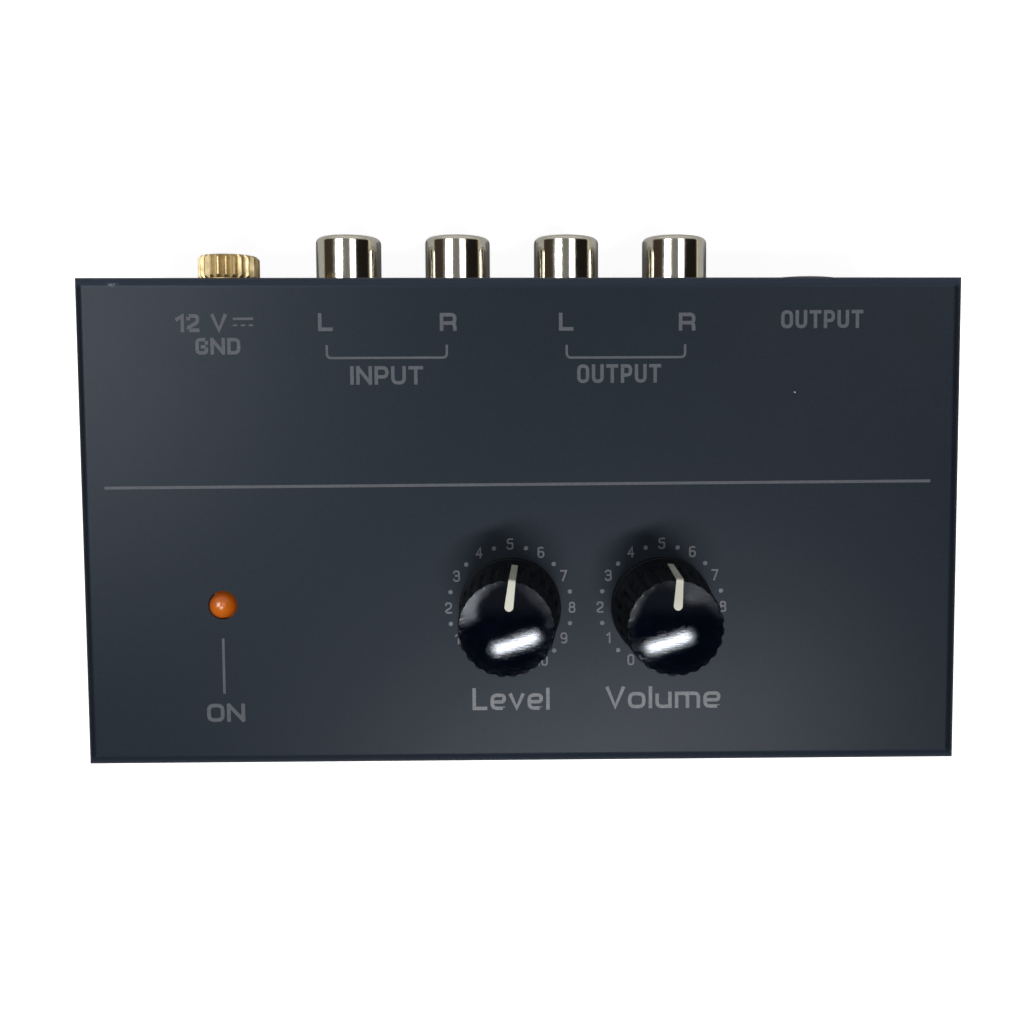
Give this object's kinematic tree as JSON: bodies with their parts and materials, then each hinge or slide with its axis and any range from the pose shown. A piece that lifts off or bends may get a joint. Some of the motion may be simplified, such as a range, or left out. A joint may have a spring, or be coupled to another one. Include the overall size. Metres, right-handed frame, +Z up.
{
  "type": "phono preamplifier",
  "caption": "Small desktop phono preamplifier: sheet metal box with fluted knobs and a lamp on top, phono jacks, phone jack, power jack and ground terminal at the rear.",
  "frame": {"origin": "centre of the bounding box's bottom face, on the surface that the rubber feet stand on", "axes": "+X to the right along the width, as seen by a user at the front; +Y to the rear with the jacks; +Z up"},
  "size_m": [0.1076, 0.0644, 0.0517],
  "materials": {
    "case_paint": "fine textured powder coat, slate grey",
    "base_paint": "fine textured powder coat, slate grey",
    "black_screw": "black oxide",
    "zinc_screw": "bright zinc plated",
    "spacer_metal": "nickel plated brass",
    "foot_rubber": "matte black",
    "knob_plastic": "polished, near black",
    "pointer_plastic": "cream inlay",
    "shaft_metal": "turned",
    "pot_body": "moulded",
    "pot_track": "phenolic with carbon film",
    "pot_frame": "stamped, zinc plated",
    "tinned_metal": "tinned",
    "lamp_lens": "tinted, orange",
    "lamp_spacer": "moulded",
    "jack_plastic": "moulded black",
    "jack_nickel": "polished nickel plate",
    "white_insulator": "moulded white",
    "red_insulator": "moulded red",
    "contact_metal": "spring brass",
    "terminal_brass": "turned and knurled, lacquered",
    "wire_sleeve": "green insulation",
    "board_laminate": "solder mask over glass laminate",
    "chip_epoxy": "moulded epoxy",
    "can_sleeve": "printed sleeve left bare",
    "film_dip": "dipped",
    "resistor_coat": "lacquered",
    "diode_epoxy": "moulded epoxy"
  },
  "bodies": {
    "chassis": {"base_plate": "base_paint", "base_screws": "black_screw", "board_screws": "zinc_screw", "board_spacers": "spacer_metal", "circuit_board": "board_laminate", "electrolytic_capacitors": "can_sleeve", "film_capacitors": "film_dip", "ground_lug": "tinned_metal", "ground_screw": "terminal_brass", "ground_wire": "wire_sleeve", "input_diode": "diode_epoxy", "input_jack_block": "jack_plastic", "input_jack_contacts": "contact_metal", "input_jack_screw": "black_screw", "input_jack_shells": "jack_nickel", "input_left_insulator": "white_insulator", "input_right_insulator": "red_insulator", "led_leads": "tinned_metal", "led_lens": "lamp_lens", "led_spacer": "lamp_spacer", "level_pot_case": "pot_body", "level_pot_frame": "pot_frame", "level_pot_terminals": "tinned_metal", "level_pot_track": "pot_track", "op_amp_pins": "tinned_metal", "op_amps": "chip_epoxy", "output_jack_block": "jack_plastic", "output_jack_contacts": "contact_metal", "output_jack_screw": "black_screw", "output_jack_shells": "jack_nickel", "output_left_insulator": "white_insulator", "output_right_insulator": "red_insulator", "phone_jack_housing": "jack_plastic", "phone_jack_ring_spring": "contact_metal", "phone_jack_sleeve": "jack_nickel", "phone_jack_tip_spring": "contact_metal", "power_jack_housing": "jack_plastic", "power_jack_leaf": "contact_metal", "power_jack_pin": "jack_nickel", "resistors": "resistor_coat", "rubber_feet": "foot_rubber", "side_screws": "black_screw", "top_cover": "case_paint", "voltage_regulator": "chip_epoxy", "volume_pot_case": "pot_body", "volume_pot_frame": "pot_frame", "volume_pot_terminals": "tinned_metal", "volume_pot_track": "pot_track"},
    "level_control": {"level_knob": "knob_plastic", "level_pointer": "pointer_plastic", "level_shaft": "shaft_metal"},
    "volume_control": {"volume_knob": "knob_plastic", "volume_pointer": "pointer_plastic", "volume_shaft": "shaft_metal"},
    "terminal_washer": {"ground_washer": "terminal_brass"},
    "terminal_nut": {"ground_nut": "terminal_brass"}
  },
  "joints": [
    {"name": "level_turn", "type": "hinge", "parent": "chassis", "child": "level_control", "pos_m": [-0.0015, -0.01353, 0.0344], "axis": [0, 0, 1], "range_deg": [-143, 157]},
    {"name": "volume_turn", "type": "hinge", "parent": "chassis", "child": "volume_control", "pos_m": [0.0165, -0.01353, 0.0344], "axis": [0, 0, 1], "range_deg": [-145.4, 154.6]},
    {"name": "ground_nut_travel", "type": "slide", "parent": "chassis", "child": "terminal_washer", "axis": [0, 1, 0], "range_m": [0, 0.0014]},
    {"name": "ground_nut_turn", "type": "hinge", "parent": "terminal_washer", "child": "terminal_nut", "pos_m": [-0.0355, 0.02712, 0.0274], "axis": [0, 1, 0], "range_deg": [0, 720]}
  ],
  "couplings": [
    {"joint": "ground_nut_turn", "follows": "ground_nut_travel", "rad_per_m": 8975}
  ]
}
